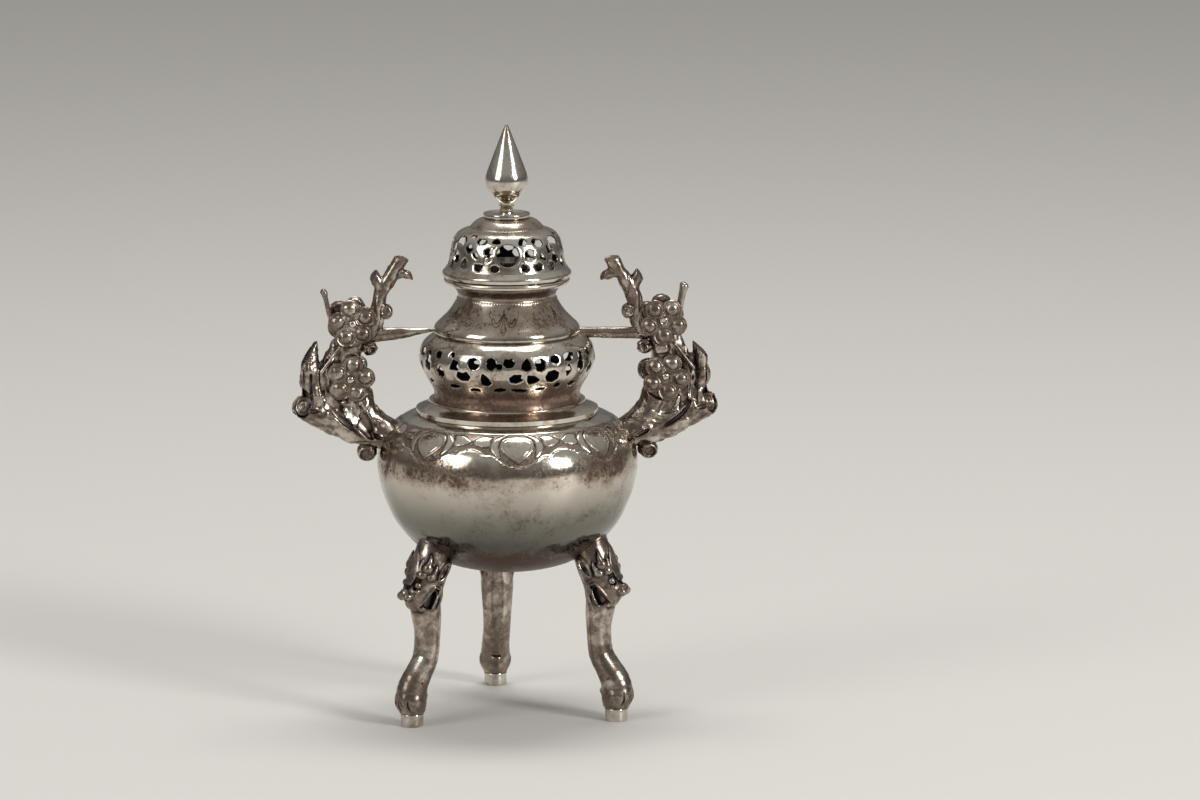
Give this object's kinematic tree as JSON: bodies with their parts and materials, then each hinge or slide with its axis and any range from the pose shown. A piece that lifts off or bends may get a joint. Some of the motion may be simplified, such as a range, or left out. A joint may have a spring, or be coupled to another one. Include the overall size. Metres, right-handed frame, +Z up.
{
  "type": "tripod censer",
  "caption": "Silver incense burner: round bowl on mask legs with paw feet, pierced gallery and waisted neck, plum-branch side handles, and a pierced domed lid with a pointed finial.",
  "frame": {"origin": "on the ground under the censer's axis, midway among the feet", "axes": "+Z up along the axis, front towards -Y between the two front legs, handles along +X and -X"},
  "size_m": [0.143, 0.0884, 0.2],
  "materials": {
    "raised_silver": "antique silver, hand raised and polished, with brown tarnish in patches",
    "pierced_silver": "antique silver, saw pierced, tarnished round the openings",
    "turned_silver": "antique silver, turned mouldings, polished",
    "cast_silver": "antique silver, cast and chased, dark tarnish in the hollows"
  },
  "bodies": {
    "vessel": {"bowl": "raised_silver", "neck": "raised_silver", "gallery": "pierced_silver", "mouth_ring": "turned_silver", "neck_rim": "turned_silver", "foot_pad_front_left": "turned_silver", "foot_pad_front_right": "turned_silver", "foot_pad_back": "turned_silver", "left_upper_rivet": "turned_silver", "left_lower_rivet": "turned_silver", "right_upper_rivet": "turned_silver", "right_lower_rivet": "turned_silver", "leg_front_left": "cast_silver", "leg_front_right": "cast_silver", "leg_back": "cast_silver", "left_branch": "cast_silver", "left_twig": "cast_silver", "left_strut": "cast_silver", "left_crossing_twig": "cast_silver", "left_twig_bud": "cast_silver", "left_strut_bud": "cast_silver", "left_root_bud": "cast_silver", "left_upper_blossom_front": "cast_silver", "left_upper_blossom_back": "cast_silver", "left_lower_blossom_front": "cast_silver", "left_lower_blossom_back": "cast_silver", "right_branch": "cast_silver", "right_twig": "cast_silver", "right_strut": "cast_silver", "right_crossing_twig": "cast_silver", "right_twig_bud": "cast_silver", "right_strut_bud": "cast_silver", "right_root_bud": "cast_silver", "right_upper_blossom_front": "cast_silver", "right_upper_blossom_back": "cast_silver", "right_lower_blossom_front": "cast_silver", "right_lower_blossom_back": "cast_silver"},
    "lid": {"lid_rim": "turned_silver", "lid_bezel": "turned_silver", "lid_dome": "pierced_silver", "lid_cap": "turned_silver", "finial_stem": "turned_silver", "finial": "turned_silver", "finial_rod": "turned_silver", "finial_nut": "turned_silver"}
  },
  "joints": [
    {"name": "lid_lift", "type": "slide", "parent": "vessel", "child": "lid", "axis": [0, 0, 1], "range_m": [0, 0.05]}
  ]
}
